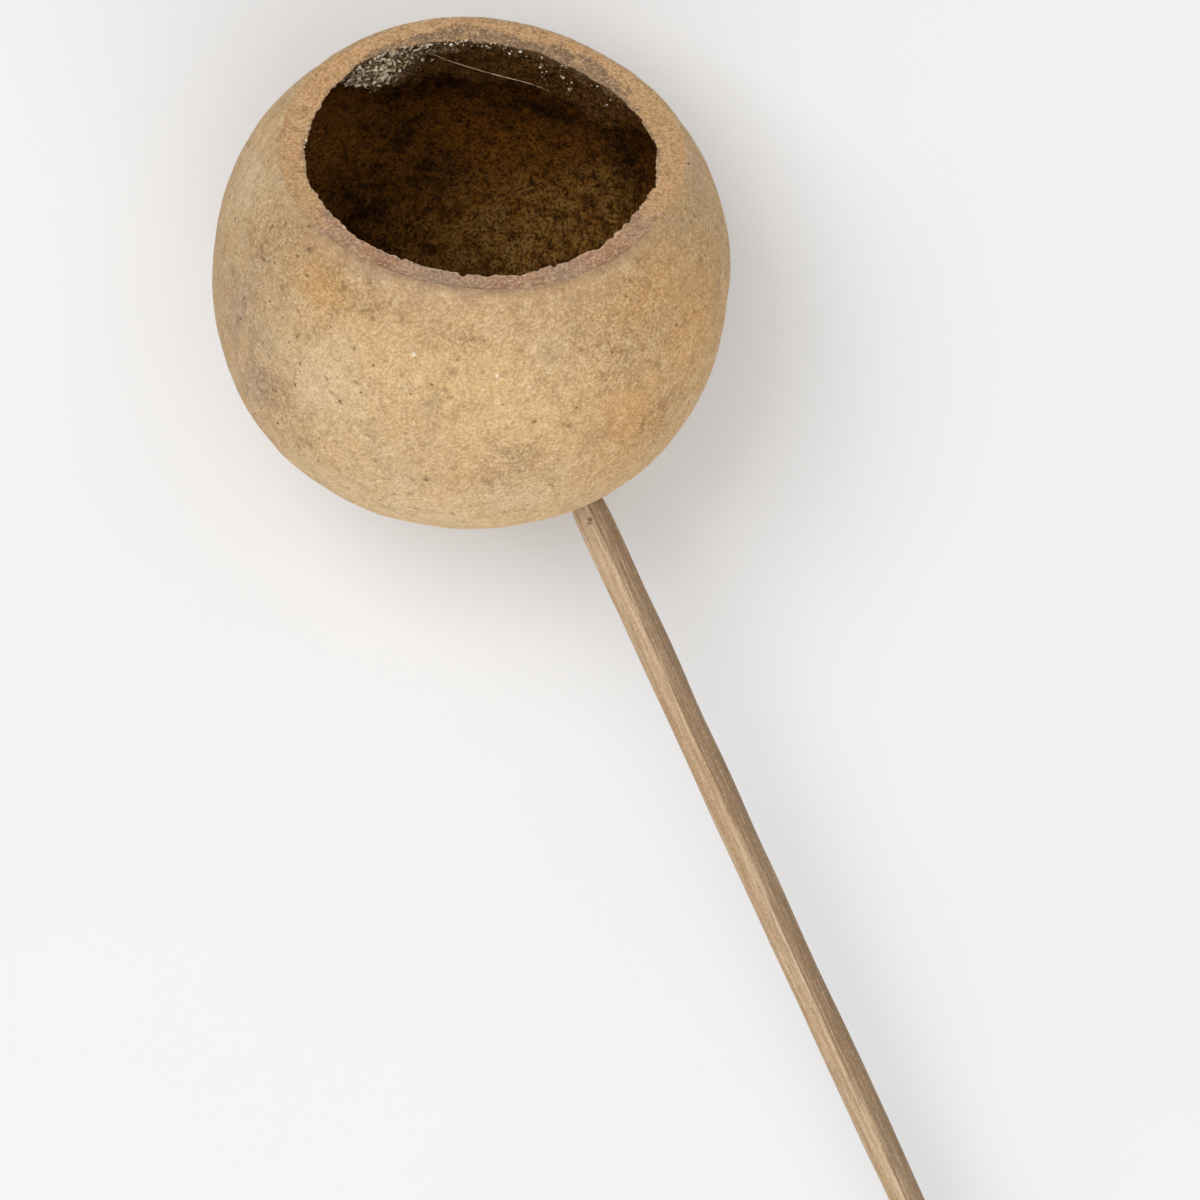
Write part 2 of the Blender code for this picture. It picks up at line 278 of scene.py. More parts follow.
def with_nicks(radius, height, turn, into_wall):
    """Makes the sawn edge ragged: near the edge the inner corner wanders in and out by a few
    tenths of a millimetre and has small chips, and the cut's face rises and falls a little."""
    ring = np.stack([21 * np.cos(turn), 21 * np.sin(turn), 0 * turn], axis=-1)
    below = MOUTH_HEIGHT + rim_rise(turn) - height
    near_edge = 1 - ease(below / CORNER_REACH)
    wander = layered(ring, CORNER_WANDER)
    chips = CHIP_DEPTH * ease(rumple(ring, CHIP_SIZE, seed=3) - 1.0)
    crumble = layered(ring, CORNER_CRUMBLE)
    radius = radius + (chips - wander + crumble) * into_wall * near_edge
    face = layered(ring, CUT_FACE)
    dip = chips * 0.7 * into_wall
    return radius, height + (face - dip) * (1 - ease(below / CUT_FACE_REACH))


def into_hole(points, outside):
    """Sinks the wall round the stem from both sides: within the hole's radius of the stem's line a
    point of the skin moves in along that line, and one of the inside moves out. The skin is raised
    a little round the hole."""
    start = stem_centre(HOLE_REACH - BESIDE_HOLE)
    line = stem_centre(HOLE_REACH + BESIDE_HOLE) - start
    line /= np.linalg.norm(line)
    along = (points - start) @ line
    aside = np.linalg.norm(points - start - along[..., None] * line, axis=-1)
    torn = layered(points / MM, HOLE_TEARS)
    sunk = 1 - ease((aside - HOLE_RADIUS - torn) / HOLE_EDGE)
    near = (along > HOLE_SPAN[0]) & (along < HOLE_SPAN[1])
    way = np.where(outside, -HOLE_SINK, HOLE_INNER_SINK) * sunk * near
    from_bulge = (aside - HOLE_RADIUS - HOLE_BULGE_OUT) / HOLE_BULGE_WIDTH
    raised = HOLE_BULGE * np.exp(-(from_bulge**2)) * near
    return points + (way + np.where(outside, raised, 0))[..., None] * line, sunk * near


def placed(name, data):
    """A new object that holds the given mesh, camera or light, in the scene at the origin."""
    made = bpy.data.objects.new(name, data)
    bpy.context.scene.collection.objects.link(made)
    return made


def lofted(name, first, rings, last):
    """A closed mesh through rings of points, from one end point to the other. Each ring's faces
    join it to the next ring, and the end points close the first and last rings as fans."""
    count, around = rings.shape[:2]
    points = np.vstack([first[None], rings.reshape(-1, 3), last[None]])
    spot = 1 + np.arange(count * around).reshape(count, around)
    beside = np.roll(spot, -1, axis=1)
    quads = np.stack([spot[:-1], spot[1:], beside[1:], beside[:-1]], axis=-1).reshape(-1, 4)
    end = len(points) - 1
    fan_in = np.stack([np.zeros(around, int), spot[0], beside[0]], axis=-1)
    fan_out = np.stack([np.full(around, end), beside[-1], spot[-1]], axis=-1)
    mesh = bpy.data.meshes.new(name)
    corners = np.concatenate([fan_in.ravel(), quads.ravel(), fan_out.ravel()])
    sizes = np.concatenate([np.full(around, 3), np.full(len(quads), 4), np.full(around, 3)])
    mesh.vertices.add(len(points))
    mesh.vertices.foreach_set("co", points.astype(np.float32).ravel())
    mesh.loops.add(len(corners))
    mesh.loops.foreach_set("vertex_index", corners.astype(np.int32))
    mesh.polygons.add(len(sizes))
    starts = np.concatenate([[0], np.cumsum(sizes)[:-1]])
    mesh.polygons.foreach_set("loop_start", starts.astype(np.int32))
    mesh.update(calc_edges=True)
    mesh.validate()
    mesh.shade_smooth()
    return placed(name, mesh)


def note(obj, name, values):
    """Keeps a number, or a place in a pattern, for each point of a mesh. Its material reads it by
    name."""
    values = np.asarray(values, np.float32)
    kind, field = ("FLOAT", "value") if values.ndim == 1 else ("FLOAT_VECTOR", "vector")
    obj.data.attributes.new(name, kind, "POINT").data.foreach_set(field, values.ravel())


hole_turn, _, hole_height = in_the_pod(stem_centre(HOLE_REACH))
section = wall_rows(hole_height)
row_count = len(section)
turns = hole_turn - np.pi + 2 * np.pi * crowded(TURN_STEPS, [(0.5, 0.025, 1.6)])[:-1]
base_radius = np.repeat(section[:, :1], TURN_STEPS, axis=1)
base_height = np.repeat(section[:, 1:], TURN_STEPS, axis=1)
turn = np.broadcast_to(turns, base_radius.shape)
row = np.arange(row_count)[:, None]
outer_start = row_count - OUTER_ROWS - LIP_ROWS
is_skin = (row >= outer_start) & (turn < 99)
is_lining = (row < INNER_ROWS) & (turn < 99)

pod_radius, pod_height, into_wall, pulp = as_grown(base_radius, base_height, turn)
pod_radius, pod_height = with_nicks(pod_radius, pod_height, turn, into_wall)
smooth_wall = on_the_pod(turn, pod_radius, pod_height)

# The skin is nearly smooth, with shallow dents. The lining is rough where a blade scraped it.
from_foot = ease(pod_radius / (6 * MM))
dents = layered(smooth_wall / MM, SKIN_DENTS)
scraped = layered(smooth_wall / MM, LINING_SCRAPES)
below_edge = ease((MOUTH_HEIGHT - base_height - 0.2 * MM) / (2 * MM))
outward = np.where(is_skin, dents, -scraped * np.where(is_lining, 1.0, 0.0)) * from_foot * below_edge
pod_radius = pod_radius + outward * np.cos(np.arctan2(pod_height, pod_radius))
pod_height = pod_height + outward * np.sin(np.arctan2(pod_height, pod_radius))

pod_points, hole_shade = into_hole(on_the_pod(turn, pod_radius, pod_height), is_skin)
pod_points[..., 2] = np.maximum(pod_points[..., 2], 0.0)
inside_foot = on_the_pod(np.array(0.0), np.array(0.0), np.array(FOOT_WALL - FOOT_DEPTH))
outside_foot = on_the_pod(np.array(0.0), np.array(0.0), np.array(-FOOT_DEPTH))
pod = lofted("pod_shell", inside_foot, pod_points, outside_foot)


def for_each_point(values, first, last):
    """Values on the pod's rows and columns, with one more at each end for its end points."""
    return np.concatenate([[first], np.broadcast_to(values, pod_radius.shape).ravel(), [last]])


# What the materials read: how far a point is under the sawn edge, in millimetres, how much of it
# is pulp or in the hole, how near it is to the far side, and how far across the cut it is.
FOOT_UNDER_EDGE = 46
under_edge = (MOUTH_HEIGHT + rim_rise(turn) - pod_height) / MM
note(pod, "under_edge", for_each_point(under_edge, FOOT_UNDER_EDGE, FOOT_UNDER_EDGE))
note(pod, "pulp", for_each_point(pulp, 0, 0))
note(pod, "hole_shade", for_each_point(hole_shade, 0, 0))
note(pod, "far_side", for_each_point((1 + np.cos(turn - WALL_THICK_SIDE)) / 2, 0.5, 0.5))
cut_in, cut_out = section[INNER_ROWS - 1, 0], section[outer_start, 0]
across_cut = np.clip((base_radius - cut_in) / (cut_out - cut_in), 0, 1)
note(pod, "across_cut", for_each_point(across_cut, 0, 1))


def marks(places):
    """A mask that is 1 at the middle of each mark and fades as a bell: a mark is given by its turn
    and height on the pod and by its half-widths round and down the pod, in millimetres."""
    mask = np.zeros(turn.shape)
    for at_turn, at_height, wide, tall in places:
        around = turned_from(turn, np.radians(at_turn))
        aside = around * np.maximum(pod_radius, 4 * MM) / MM / wide
        mask = np.maximum(mask, np.exp(-(aside**2) - ((pod_height / MM - at_height) / tall) ** 2))
    return mask


# The marks of each kind: (turn in degrees, height, half-width round the pod, half-width down it).
MARKS = {
    "mauve": ((212, 5, 5, 5.5), (221, -3, 4.5, 6), (246, 17.6, 9, 0.9)),
    "ochre": (
        (337, 7, 9, 9), (326, 15, 8, 3.5), (316, 1, 7, 8), (130, -4, 8, 8),
        (232, 14.5, 5, 3),
    ),
    # The first pale patch, wide and low on the pod's near side, is painted light as well as a paler
    # tone: it brightens the flank that faces down, away from the lamps.
    "pale": (
        (268, -10.5, 14, 6), (240, 4, 6, 6), (188, 14, 6, 5), (60, -12, 12, 8),
    ),
    "pepper": (
        (209, 12.5, 4.5, 3), (216, 15.8, 4, 1.3), (270, 13.5, 2.6, 1.6), (311, 10, 5.5, 5),
        (287, -1, 4, 2.6), (322, -1.5, 5, 4.5), (240, 15.4, 6, 1.5), (228, -2, 4, 3.5),
        (20, -6, 9, 7), (160, 2, 7, 6), (100, -12, 9, 8),
    ),
    # The last patch, wide and low on the pod's near side, is painted light as well as a yellower tone.
    "sunny_and_painted_light": (
        (277, 10, 8, 4), (284, 3, 9, 5), (255, 9, 5, 4), (268, -15, 17, 6),
    ),
    "mauve_cut": ((262, 18.4, 17, 9), (316, 18.4, 8, 9)),
    "lit_lining": ((77, -15.5, 11, 6), (66, -11, 8, 5), (58, -7, 5, 5)),
    "dark_lining": (
        (123, -12, 6, 5), (128, -8, 2.6, 2), (103, -8, 3.5, 2.6), (112, -2.6, 2.8, 2.4),
        (114, 3.2, 4, 2), (103, 5.2, 6, 1.8), (77, 2.4, 7, 1.6), (53, 1, 3.5, 4),
    ),
    "pith": ((136, 15.6, 5.4, 3.4), (130, 16.6, 4, 2.6), (118, 18.2, 4, 1.4)),
    "stained_cut": ((99, 19.5, 9, 9), (62, 18, 7, 9)),
    "rusty_cut": ((286, 18.4, 3.6, 9), (318, 18.4, 3.6, 9), (241, 18.4, 3.4, 9)),
    "grey_cut": ((264, 18.4, 4.6, 9), (300, 18.4, 1.6, 9)),
    # Painted light: a brighter brown on the left inner wall, which the key lamp leaves in shade.
    "painted_light_left_lining": ((136, 0, 9, 9), (131, -8, 5, 5)),
}
for mark_name, places in MARKS.items():
    note(pod, mark_name, for_each_point(marks(places), 0, 0))

# Two white specks on the near side of the skin, at their places in millimetres.
SPECK_TURNS = np.radians([259.8, 279.9])
SPECK_HEIGHTS = np.array([11.6, 10.2]) * MM
speck_radius, speck_height, _, _ = as_grown(outer_radius(SPECK_HEIGHTS), SPECK_HEIGHTS, SPECK_TURNS)
white_specks = on_the_pod(SPECK_TURNS, speck_radius, speck_height) / MM

# Two places for patterns that are drawn out, in millimetres: one down the fruit, as its grain
# runs, and one across the cut, as the saw went.
GRAIN_WIDTH = 29
GRAIN_STRETCH = 0.12
SAW_WIDTH = 4
nowhere = np.zeros((1, 3))
steps = np.linalg.norm(np.diff(section, axis=0, prepend=section[:1]), axis=1)
down_wall = GRAIN_STRETCH * (np.cumsum(steps)[:, None] / MM)
down_all = np.broadcast_to(down_wall, turn.shape)
grain = np.stack([GRAIN_WIDTH * np.cos(turn), GRAIN_WIDTH * np.sin(turn), down_all], axis=-1)
round_edge = np.stack([SAW_WIDTH * np.cos(turn), SAW_WIDTH * np.sin(turn), pod_radius / MM], axis=-1)
note(pod, "round_edge", np.vstack([nowhere, round_edge.reshape(-1, 3), nowhere]))
note(pod, "grain", np.vstack([nowhere, grain.reshape(-1, 3), [[0, 0, down_wall[-1, 0]]]]))


class Value:
    """A shader socket that takes part in Python sums: an expression on it adds its Math nodes."""

    def __init__(self, finish, socket):
        self.finish = finish
        self.socket = socket

    def math(self, operation, *terms):
        return self.finish.node("ShaderNodeMath", {"operation": operation}, terms)

    def __add__(self, other):
        return self.math("ADD", self, other)

    __radd__ = __add__

    def __sub__(self, other):
        return self.math("SUBTRACT", self, other)

    def __rsub__(self, other):
        return self.math("SUBTRACT", other, self)

    def __mul__(self, other):
        return self.math("MULTIPLY", self, other)

    __rmul__ = __mul__

    def __truediv__(self, other):
        return self.math("DIVIDE", self, other)

    def __pow__(self, other):
        return self.math("POWER", self, other)

    def at_least(self, other):
        return self.math("MAXIMUM", self, other)

    def between(self, low, high):
        """0 where this value is at low, 1 where it's at high, and eased between. Either may be the
        larger."""
        share = self.finish.node("ShaderNodeClamp", {}, ((self - low) / (high - low), 0.0, 1.0))
        return share * share * (3 - 2 * share)


class Finish:
    """A material, built on its Principled BSDF by adding nodes."""

    def __init__(self, name, roughness, specular=0.5):
        self.material = bpy.data.materials.new(name)
        self.material.use_nodes = True
        self.tree = self.material.node_tree
        self.shader = self.tree.nodes["Principled BSDF"]
        self.shader.inputs["Roughness"].default_value = roughness
        self.shader.inputs["Specular IOR Level"].default_value = specular

    def node(self, kind, settings, inputs, output=0):
        """Adds a node: its settings first, then a value or a link for each input, which are given
        in the sockets' order or by name. Returns the output asked for."""
        made = self.tree.nodes.new(kind)
        for name, value in settings.items():
            setattr(made, name, value)
        pairs = inputs.items() if isinstance(inputs, dict) else enumerate(inputs)
        for where, value in pairs:
            self.feed(made.inputs[where], value)
        return Value(self, made.outputs[output])

    def feed(self, socket, value):
        if isinstance(value, Value):
            self.tree.links.new(value.socket, socket)
        else:
            socket.default_value = value

    def noted(self, name):
        """A number that the mesh keeps for each of its points."""
        return self.node("ShaderNodeAttribute", {"attribute_name": name}, {}, "Fac")

    def noted_place(self, name):
        return self.node("ShaderNodeAttribute", {"attribute_name": name}, {}, "Vector")

    def millimetres(self):
        """Where a point is on the object, in millimetres."""
        place = self.node("ShaderNodeTexCoord", {}, {}, "Object")
        return self.node("ShaderNodeVectorMath", {"operation": "SCALE"}, {0: place, "Scale": 1000.0})

    def noise(self, place, size, detail=2.0, roughness=0.5, distortion=0.0):
        """Soft noise from 0 to 1, with patches of about one size, drawn out where it's distorted."""
        inputs = {"Vector": place, "Scale": 1 / size, "Detail": detail}
        inputs.update({"Roughness": roughness, "Distortion": distortion})
        return self.node("ShaderNodeTexNoise", {}, inputs)

    def distance(self, place, point):
        ends = (place, tuple(point))
        return self.node("ShaderNodeVectorMath", {"operation": "DISTANCE"}, ends, "Value")

    def shaken(self, place, size, amount):
        """Places moved about by soft noise, which makes the round edges of a pattern ragged."""
        inputs = {"Vector": place, "Scale": 1 / size, "Detail": 2.0}
        way = self.node("ShaderNodeTexNoise", {}, inputs, "Color")
        way = self.node("ShaderNodeVectorMath", {"operation": "SCALE"}, {0: way, "Scale": amount})
        return self.node("ShaderNodeVectorMath", {"operation": "ADD"}, (place, way))

    def dots(self, place, size, share, radius):
        """Round dots: a cell of one size has a dot at its middle if its own random number is under
        the share, and the dot fades out at its radius, as a part of the size."""
        cells = {"Vector": place, "Scale": 1 / size, "Randomness": 1.0}
        distance = self.node("ShaderNodeTexVoronoi", {}, cells, "Distance")
        lot = self.node("ShaderNodeTexVoronoi", {}, cells, "Color")
        lot = self.node("ShaderNodeSeparateColor", {}, (lot,))
        return distance.between(radius, radius * 0.35) * lot.between(share, share - 0.08)

    def mix(self, share, first, second):
        """A colour between two. The node's colours are its inputs 6 and 7 and its output 2."""
        return self.node("ShaderNodeMix", {"data_type": "RGBA"}, {0: share, 6: first, 7: second}, 2)

    def coats(self, colour, *coats):
        """A colour under coats of others: each is how much of it shows, and the colour itself."""
        for share, over in coats:
            colour = self.mix(share, colour, over)
        return colour

    def bump(self, height, distance, strength=1.0):
        """The surface's bumps. The height is a part of the distance, which is in metres."""
        inputs = {"Strength": strength, "Distance": distance, "Height": height}
        self.feed(self.shader.inputs["Normal"], self.node("ShaderNodeBump", {}, inputs))

    def colour(self, value):
        self.feed(self.shader.inputs["Base Color"], value)


def pod_skin():
    """The fruit's dry skin: dull tan with a dense, fine brown speckle, single dark pits, soft
    darker clouds, a mauve stain on one side and ochre on the other, two white specks, and a thin
    dark line along the near part of the sawn edge."""
    finish = Finish("pod_skin", roughness=0.75, specular=0.25)
    place = finish.millimetres()
    ragged = finish.shaken(place, 0.35, 0.5)
    grain = finish.noted_place("grain")
    cloud = finish.noise(place, 13.0, 3.0, 0.5)
    patch = finish.noise(place, 4.0, 4.0, 0.6)
    clump = finish.noise(place, 1.2, 4.0, 0.65, distortion=0.4)
    grit = finish.noise(place, 0.34, 3.0, 0.75, distortion=0.5)
    streak = finish.noise(grain, 0.9, 3.0, 0.6)
    pepper = finish.noted("pepper")
    drift = finish.noise(place, 6.5, 3.0, 0.55)
    mottle = finish.noise(place, 2.1, 4.0, 0.62, distortion=0.3)
    worn = (patch.between(0.48, 0.66) * 0.35).at_least(pepper * (0.4 + 0.6 * patch.between(0.3, 0.6)))

    specks = finish.dots(ragged, 0.75, 0.30, 0.34) * (0.25 + worn * 0.6)
    spots = finish.dots(ragged, 1.5, 0.46, 0.32) * mottle.between(0.36, 0.54)
    pits = finish.dots(ragged, 1.25, 0.30, 0.20) * clump.between(0.36, 0.50)
    pits = pits + pepper * finish.dots(ragged, 1.0, 0.34, 0.28)
    edge = finish.noted("under_edge")
    near_cut = finish.noted("mauve_cut")
    line = edge.between(0.22, 0.06) * streak.between(0.42, 0.60) * (0.12 + 0.88 * near_cut)
    sunlit = (cloud.between(0.40, 0.65) * 0.5 + finish.noted("sunny_and_painted_light")).between(0.0, 1.0)

    tan = (0.590, 0.375, 0.185, 1)
    sunny_and_painted_light = (0.680, 0.440, 0.205, 1)
    greyish = (0.520, 0.375, 0.225, 1)
    warm = (0.700, 0.430, 0.195, 1)
    pale = (0.710, 0.515, 0.300, 1)
    ochre = (0.650, 0.335, 0.094, 1)
    mauve = (0.400, 0.285, 0.215, 1)
    umber = (0.300, 0.170, 0.075, 1)
    spotted = (0.230, 0.130, 0.058, 1)
    deep = (0.110, 0.062, 0.028, 1)
    light = (0.860, 0.660, 0.410, 1)
    white = (0.940, 0.860, 0.740, 1)
    base = finish.coats(
        tan,
        # The yellow and pale coats are partly painted light where their marks lie low on the near
        # side.
        (sunlit, sunny_and_painted_light),
        (drift.between(0.50, 0.66) * 0.50, greyish),
        (drift.between(0.46, 0.34) * 0.45, warm),
        (finish.noted("pale") * 0.9 * cloud.between(0.25, 0.6), pale),
        (finish.noted("ochre") * (0.50 + 0.5 * cloud), ochre),
        (finish.noted("mauve") * patch.between(0.30, 0.62) * 0.7, mauve),
        (worn * 0.22, umber),
        (mottle.between(0.50, 0.64) * (0.21 + worn * 0.35), umber),
        (mottle.between(0.47, 0.34) * 0.22, light),
        (clump.between(0.50, 0.66) * (0.20 + worn * 0.30), umber),
        (clump.between(0.47, 0.33) * 0.28, light),
        (grit.between(0.49, 0.61) * (0.40 + worn * 0.30), umber),
        (grit.between(0.48, 0.37) * 0.44, light),
        (specks * 0.6, umber),
        (spots * 0.52, spotted),
        (pits.between(0.0, 1.0) * 0.75, deep),
        (streak.between(0.55, 0.8) * 0.10, umber),
        (line * 0.50, (0.24, 0.135, 0.080, 1)),
        (edge.between(0.9, 0.3) * near_cut * 0.40, (0.46, 0.29, 0.185, 1)),
        (edge.between(3.6, 0.6) * patch.between(0.35, 0.7) * 0.25, (0.46, 0.27, 0.14, 1)),
    )
    for speck in white_specks:
        near_speck = finish.distance(ragged, speck + 0.25).between(0.33, 0.12)
        base = finish.mix(near_speck * 0.8, base, white)
    # Painted shade: where the skin sinks into the stem's hole it turns nearly black-brown, for the gap
    # round the stem.
    finish.colour(finish.mix(finish.noted("hole_shade"), base, (0.10, 0.055, 0.025, 1)))
    finish.bump(grit * 1.0 + clump * 1.2 + patch * 2.0 + specks * -0.5 + pits * -0.9, 0.16 * MM, 0.7)
    return finish.material


def sawn_edge():
    """The saw's cut through the wall: near the front brown with a mauve cast and patches of rust and
    grey, tan at the sides, and at the far side tan outside and stained grey-brown inside."""
    finish = Finish("sawn_edge", roughness=0.85, specular=0.2)
    place = finish.millimetres()
    grit = finish.noise(place, 0.34, 3.0, 0.75, distortion=0.5)
    patch = finish.noise(place, 1.7, 4.0, 0.65)
    streak = finish.noise(finish.noted_place("round_edge"), 0.55, 3.0, 0.6)
    across = finish.noted("across_cut")
    far = finish.noted("far_side")
    near_cut = finish.noted("mauve_cut")
    stained = finish.noted("stained_cut")
    mauve = (0.585, 0.345, 0.200, 1)
    grey = (0.460, 0.325, 0.225, 1)
    tan = (0.725, 0.418, 0.185, 1)
    rust = (0.520, 0.235, 0.115, 1)
    dark = (0.150, 0.085, 0.052, 1)
    light = (0.780, 0.580, 0.390, 1)
    ash = (0.200, 0.136, 0.090, 1)
    reaches = stained * 0.62 + far * 0.12 + (patch - 0.5) * 0.9 + (grit - 0.5) * 0.5
    mottled = (reaches - across).between(-0.12, 0.24) * (0.45 + 0.55 * patch.between(0.34, 0.54))
    inner_line = across.between(0.16, 0.02) * (1 - far) * streak.between(0.35, 0.55)
    outer_line = across.between(0.86, 0.96) * patch.between(0.36, 0.54) * (0.15 + 0.85 * near_cut)
    finish.colour(finish.coats(
        tan,
        ((near_cut * 1.5 + streak * 1.2 - 0.85).between(0.0, 0.5), mauve),
        (finish.noted("grey_cut") * patch.between(0.30, 0.50) * 0.65, grey),
        (finish.noted("rusty_cut") * patch.between(0.36, 0.56) * 0.65, rust),
        (patch.between(0.52, 0.66) * (0.24 - near_cut * 0.14), dark),
        (streak.between(0.50, 0.66) * (0.12 + 0.24 * near_cut), dark),
        (grit.between(0.49, 0.62) * 0.50, dark),
        (grit.between(0.47, 0.36) * 0.72, light),
        (mottled * (0.35 + 0.65 * grit.between(0.38, 0.52)) * 0.80, ash),
        (inner_line * 0.5, light),
        (outer_line * 0.50, dark),
    ))
    finish.bump(grit * 1.3 + patch * 1.5, 0.18 * MM, 0.9)
    return finish.material


def scraped_lining():
    """The inside: very dark brown dried flesh, granular, with a smoother band of pulp under the
    far side of the mouth, pale crumbs of pith near the edge, a painted pool of light in olive on
    the floor, and painted light in a brighter brown on the left wall."""
    finish = Finish("scraped_lining", roughness=0.75, specular=0.10)
    place = finish.millimetres()
    grit = finish.noise(place, 0.36, 3.0, 0.8, distortion=0.6)
    clump = finish.noise(place, 1.5, 4.0, 0.65)
    cloud = finish.noise(place, 7.5, 3.0, 0.55)
    pulp = finish.noted("pulp")
    stained = finish.noted("stained_cut")
    dark = (0.020, 0.0070, 0.0010, 1)
    brown = (0.250, 0.0850, 0.0075, 1)
    olive = (0.430, 0.225, 0.055, 1)
    khaki = (0.450, 0.325, 0.180, 1)
    lit = finish.noted("lit_lining") * (0.14 + 0.86 * clump.between(0.40, 0.58))
    crusted = (finish.noted("pith") * 1.4 * clump.between(0.30, 0.52) - 0.12).between(0.0, 0.7)
    edge = finish.noted("under_edge")
    ash = edge.between(3.2, 0.2) * (0.25 + stained) * clump.between(0.42, 0.58)
    ash = (ash * grit.between(0.60, 0.42)).between(0.0, 1.0)
    finish.colour(finish.coats(
        dark,
        (0.60 + 0.40 * clump.between(0.32, 0.54), brown),
        # Painted light on the left inner wall.
        (finish.noted("painted_light_left_lining") * 0.9, (0.480, 0.185, 0.032, 1)),
        (cloud.between(0.44, 0.30) * 0.30, dark),
        (clump.between(0.46, 0.34) * 0.62, dark),
        (finish.noted("dark_lining") * clump.between(0.74, 0.44) * 0.95, dark),
        # A painted pool of light on the lining's floor.
        (lit, olive),
        (pulp * 0.85, (0.115, 0.049, 0.011, 1)),
        (grit.between(0.49, 0.58) * 0.86, dark),
        (grit.between(0.47, 0.36) * (0.20 + lit * 0.45 + pulp * 0.14), olive),
        (crusted * grit.between(0.56, 0.44), khaki),
        (ash * 0.65, (0.28, 0.185, 0.100, 1)),
        (edge.between(1.0, 0.1) * grit.between(0.3, 0.6) * 0.5, (0.25, 0.16, 0.09, 1)),
    ))
    finish.bump(grit + clump * 1.5, 0.32 * MM, 1.0)
    return finish.material


for material in (scraped_lining(), sawn_edge(), pod_skin()):
    pod.data.materials.append(material)
face_rows = np.repeat(np.concatenate([[0], np.arange(row_count - 1), [row_count]]), TURN_STEPS)
face_finish = np.where(face_rows < INNER_ROWS, 0, np.where(face_rows < outer_start, 1, 2))
pod.data.polygons.foreach_set("material_index", face_finish.astype(np.int32))
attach(pod, "root")
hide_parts("cup_pod")

# Crumbs of pith: pale dry crumbs of the flesh that the scraping left. They stick to the lining
# under the far left of the sawn edge, with a few more along the far side and at the left end.

CRUMB_SIZE = 0.16 * MM
BIG_CRUMB_SIZE = 0.30 * MM
BIG_CRUMB_LENGTH = 1.9

# Groups of crumbs: a seed, their number, the middle and the spread of their turns in degrees, and
# the middle and the spread of their depths under the edge in millimetres.
SMALL_GROUPS = (
    (41, 150, 132, 8.0, 2.0, 1.5),
    (42, 40, 98, 12.0, 0.5, 0.5),
    (43, 10, 184, 3.0, 0.3, 0.3),
    (44, 24, 62, 16.0, 1.6, 1.4),
    (47, 7, 75, 1.2, 2.4, 1.3),
    (50, 3, 63.5, 1.0, 4.0, 0.5),
)
BIG_GROUPS = (
    (48, 62, 138.5, 3.4, 3.4, 1.4),
    (52, 58, 130.5, 2.6, 4.1, 1.2),
    (53, 16, 122, 5.0, 1.6, 1.0),
    (49, 7, 116.5, 1.0, 0.6, 0.3),
    (54, 3, 128.5, 0.6, 0.5, 0.2),
    (55, 3, 126.4, 0.6, 3.4, 0.2),
)


def crumb_shape():
    """The 12 corners and 20 faces of an icosahedron, one unit in radius."""
    golden = (1 + 5**0.5) / 2
    flat = np.array([[0, a, b * golden] for a in (-1, 1) for b in (-1, 1)])
    corners = np.vstack([flat, np.roll(flat, 1, axis=1), np.roll(flat, 2, axis=1)])
    gaps = np.linalg.norm(corners[:, None] - corners[None], axis=2)
    near = np.isclose(gaps, 2.0)
    faces = [
        (i, j, k)
        for i in range(12) for j in range(i + 1, 12) for k in range(j + 1, 12)
        if near[i, j] and near[j, k] and near[i, k]
    ]
    faces = np.array(faces)
    a, b, c = corners[faces[:, 0]], corners[faces[:, 1]], corners[faces[:, 2]]
    inward = np.einsum("ij,ij->i", np.cross(b - a, c - a), a) < 0
    faces[inward] = faces[inward][:, ::-1]
    return corners / np.linalg.norm(corners[0]), faces


def crumbs(name, centres, sizes, lengths, seed):
    """One mesh of lumps: each is the same shape with its corners moved in and out at random,
    drawn out to its length, turned at random, scaled to its size and moved to its centre."""
    draw = np.random.default_rng(seed)
    corners, faces = crumb_shape()
    count = len(centres)
    lumps = corners[None] * draw.uniform(0.6, 1.25, (count, 12, 1))
    lumps = lumps * draw.uniform(0.6, 1.2, (count, 1, 3))
    lumps[..., 0] *= lengths[:, None]
    turns, _ = np.linalg.qr(draw.normal(size=(count, 3, 3)))
    turns *= np.sign(np.linalg.det(turns))[:, None, None]
    points = np.einsum("nij,nkj->nki", turns, lumps) * sizes[:, None, None] + centres[:, None]
    every_face = faces[None] + 12 * np.arange(count)[:, None, None]
    mesh = bpy.data.meshes.new(name)
    mesh.from_pydata(points.reshape(-1, 3).tolist(), [], every_face.reshape(-1, 3).tolist())
    mesh.shade_smooth()
    return placed(name, mesh)


def lining_points(seed, count, middle_turn, turn_spread, middle_depth, depth_spread):
    """Points of the pod's own inside, picked at random round a turn and a depth under the edge."""
    draw = np.random.default_rng(seed)
    wanted_turn = draw.normal(np.radians(middle_turn), np.radians(turn_spread), count)
    wanted_depth = np.abs(draw.normal(middle_depth, depth_spread, count))
    column = np.abs(turned_from(turns[None], wanted_turn[:, None])).argmin(axis=1)
    depths = under_edge[:INNER_ROWS, column]
    picked = np.abs(depths - wanted_depth[None]).argmin(axis=0)
    return pod_points[picked, column]


def pith(name, dark, light):
    """Dry pith or fibre, from a darker to a lighter shade every millimetre or so."""
    finish = Finish(name, roughness=0.9, specular=0.2)
    place = finish.millimetres()
    finish.colour(finish.mix(finish.noise(place, 0.8, 2.0).between(0.36, 0.58), dark, light))
    finish.bump(finish.noise(place, 0.12), 0.04 * MM)
    return finish.material


